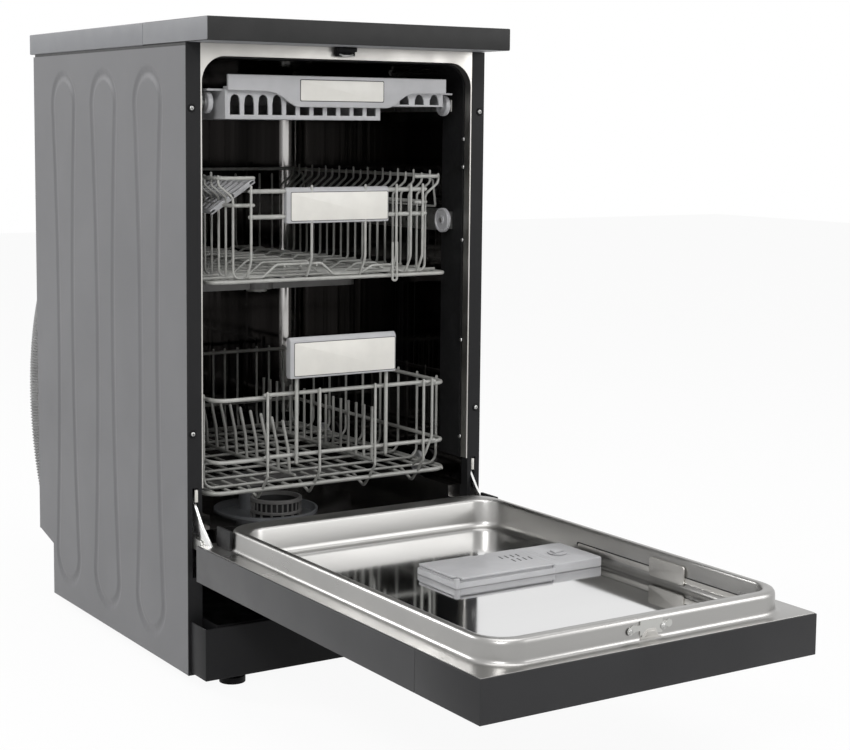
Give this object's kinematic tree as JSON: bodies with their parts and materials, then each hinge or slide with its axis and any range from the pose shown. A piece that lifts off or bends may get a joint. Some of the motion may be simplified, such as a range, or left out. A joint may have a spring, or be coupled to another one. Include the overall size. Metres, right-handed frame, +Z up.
{
  "type": "freestanding dishwasher",
  "caption": "Slim freestanding dishwasher with a drop-down door, sliding wire racks, a pull-out cutlery tray, turning spray arms and a ribbed drain hose",
  "frame": {"origin": "the bottom centre of the whole object's bounding box, with the door open as in the picture; the feet stand on Z = 0", "axes": "X to the right seen from the front, Y to the rear, Z up"},
  "size_m": [0.45, 1.246, 0.845],
  "materials": {
    "cabinet_grey": "smooth grey enamel",
    "post_black": "satin black enamel",
    "worktop_grey": "light grey laminate",
    "trim_dark": "dark grey moulding",
    "tub_steel": "bright sheet steel",
    "flange_steel": "pale brushed steel",
    "gasket_rubber": "black rubber",
    "base_black": "black moulded plastic",
    "zinc_steel": "zinc-plated steel",
    "fixing_steel": "small steel fixings",
    "inner_plastic": "grey moulded plastic",
    "hose_grey": "ribbed grey hose",
    "wire_grey": "grey coated wire",
    "rack_plastic": "grey moulded plastic",
    "insert_light": "pale smooth plate",
    "door_dark": "dark grey enamel",
    "control_dark": "dark smooth plastic",
    "liner_steel": "bright sheet steel",
    "button_metal": "bright button caps"
  },
  "bodies": {
    "cabinet": {"side_panel_left": "cabinet_grey", "side_panel_right": "cabinet_grey", "rear_panel": "zinc_steel", "worktop_panel": "worktop_grey", "worktop_front_trim": "trim_dark", "front_posts": "post_black", "mouth_flange": "flange_steel", "tub_wrap": "tub_steel", "tub_back": "tub_steel", "tub_floor": "tub_steel", "mouth_gasket": "gasket_rubber", "latch_strike": "base_black", "base_tray": "base_black", "kick_plate": "post_black", "cabinet_screws": "fixing_steel", "hinge_brackets": "zinc_steel", "door_springs": "zinc_steel", "sump": "inner_plastic", "wash_pump": "inner_plastic", "drain_pump": "inner_plastic", "inlet_valve": "inner_plastic", "drain_hose": "hose_grey", "hose_clips": "base_black", "feed_pipe": "inner_plastic", "wall_rails": "fixing_steel", "rear_feet": "base_black"},
    "left_foot": {"foot_front_left": "base_black"},
    "right_foot": {"foot_front_right": "base_black"},
    "filter_cup": {"filter": "rack_plastic"},
    "lower_arm": {"lower_spray_arm": "rack_plastic"},
    "lower_rack": {"lower_rack_base": "wire_grey", "lower_rack_walls": "wire_grey", "lower_rack_handle": "rack_plastic", "lower_handle_insert": "insert_light"},
    "tine_row": {"folding_tines": "wire_grey"},
    "lower_front_wheels": {"lower_rack_front_wheels": "rack_plastic"},
    "lower_rear_wheels": {"lower_rack_rear_wheels": "rack_plastic"},
    "upper_rack": {"upper_rack_base": "wire_grey", "upper_rack_walls": "wire_grey", "upper_rack_handle": "rack_plastic", "upper_handle_insert": "insert_light"},
    "shelf": {"cup_shelf": "rack_plastic"},
    "upper_arm": {"upper_spray_arm": "rack_plastic"},
    "rails": {"upper_rails": "fixing_steel"},
    "rail_rollers": {"upper_rack_rollers": "rack_plastic"},
    "tray": {"cutlery_tray": "rack_plastic", "tray_fascia": "rack_plastic", "tray_insert": "insert_light"},
    "tray_wheels": {"tray_rollers": "rack_plastic"},
    "door": {"door_panel": "door_dark", "control_panel": "control_dark", "door_liner": "liner_steel", "dispenser": "rack_plastic", "door_latch": "zinc_steel", "hinge_arms": "zinc_steel", "bottom_seal": "gasket_rubber"},
    "cup_lid": {"detergent_lid": "rack_plastic"},
    "dial": {"rinse_dial": "rack_plastic"},
    "power": {"power_button": "button_metal"},
    "programme": {"programme_button": "button_metal"}
  },
  "joints": [
    {"name": "door_hinge", "type": "hinge", "parent": "cabinet", "child": "door", "pos_m": [0, 0.0035, 0.1855], "axis": [1, 0, 0], "range_deg": [-90, 0]},
    {"name": "left_foot_screw", "type": "slide", "parent": "cabinet", "child": "left_foot", "axis": [0, 0, -1], "range_m": [0, 0.02]},
    {"name": "right_foot_screw", "type": "slide", "parent": "cabinet", "child": "right_foot", "axis": [0, 0, -1], "range_m": [0, 0.02]},
    {"name": "filter_twist", "type": "hinge", "parent": "cabinet", "child": "filter_cup", "pos_m": [0, 0.201, 0.155], "axis": [0, 0, 1], "range_deg": [0, 45]},
    {"name": "lower_arm_turn", "type": "hinge", "parent": "cabinet", "child": "lower_arm", "pos_m": [0, 0.282, 0.2], "axis": [0, 0, 1], "continuous": true},
    {"name": "lower_rack_slide", "type": "slide", "parent": "cabinet", "child": "lower_rack", "axis": [0, -1, 0], "range_m": [0, 0.42]},
    {"name": "tine_fold", "type": "hinge", "parent": "lower_rack", "child": "tine_row", "pos_m": [0.1, 0.256, 0.2491], "axis": [0, -1, 0], "range_deg": [0, 80]},
    {"name": "lower_front_wheel_turn", "type": "hinge", "parent": "lower_rack", "child": "lower_front_wheels", "pos_m": [0, 0.129, 0.2323], "axis": [1, 0, 0], "range_deg": [0, 1420]},
    {"name": "lower_rear_wheel_turn", "type": "hinge", "parent": "lower_rack", "child": "lower_rear_wheels", "pos_m": [0, 0.4, 0.2323], "axis": [1, 0, 0], "range_deg": [0, 1420]},
    {"name": "upper_rack_slide", "type": "slide", "parent": "cabinet", "child": "upper_rack", "axis": [0, -1, 0], "range_m": [0, 0.42]},
    {"name": "upper_rail_slide", "type": "slide", "parent": "cabinet", "child": "rails", "axis": [0, -1, 0], "range_m": [0, 0.215]},
    {"name": "upper_roller_turn", "type": "hinge", "parent": "rails", "child": "rail_rollers", "pos_m": [0, 0.068, 0.585], "axis": [1, 0, 0], "range_deg": [0, 712]},
    {"name": "shelf_tip", "type": "hinge", "parent": "upper_rack", "child": "shelf", "pos_m": [-0.171, 0.17, 0.6], "axis": [0, -1, 0], "range_deg": [-33, 45]},
    {"name": "upper_arm_turn", "type": "hinge", "parent": "upper_rack", "child": "upper_arm", "pos_m": [0, 0.26, 0.488], "axis": [0, 0, 1], "continuous": true},
    {"name": "tray_slide", "type": "slide", "parent": "cabinet", "child": "tray", "axis": [0, -1, 0], "range_m": [0, 0.35]},
    {"name": "tray_roller_turn", "type": "hinge", "parent": "cabinet", "child": "tray_wheels", "pos_m": [0, 0.054, 0.743], "axis": [1, 0, 0], "range_deg": [0, 1435]},
    {"name": "lid_turn", "type": "hinge", "parent": "door", "child": "cup_lid", "pos_m": [0.0325, -0.227, 0.18965], "axis": [-1, 0, 0], "range_deg": [0, 170]},
    {"name": "dial_turn", "type": "hinge", "parent": "door", "child": "dial", "pos_m": [0.14, -0.27, 0.19], "axis": [0, 0, 1], "range_deg": [0, 270]},
    {"name": "power_press", "type": "slide", "parent": "door", "child": "power", "axis": [0, 0, 1], "range_m": [0, 0.002], "stiffness_N_per_m": 600, "springref_m": -0.0005},
    {"name": "programme_press", "type": "slide", "parent": "door", "child": "programme", "axis": [0, 0, 1], "range_m": [0, 0.002], "stiffness_N_per_m": 600, "springref_m": -0.0005}
  ],
  "couplings": [
    {"joint": "lower_front_wheel_turn", "follows": "lower_rack_slide", "rad_per_m": 58.824},
    {"joint": "lower_rear_wheel_turn", "follows": "lower_rack_slide", "rad_per_m": 58.824},
    {"joint": "upper_rail_slide", "follows": "upper_rack_slide", "ratio": 0.5},
    {"joint": "upper_roller_turn", "follows": "upper_rack_slide", "rad_per_m": 29.412},
    {"joint": "tray_roller_turn", "follows": "tray_slide", "rad_per_m": 71.429}
  ]
}
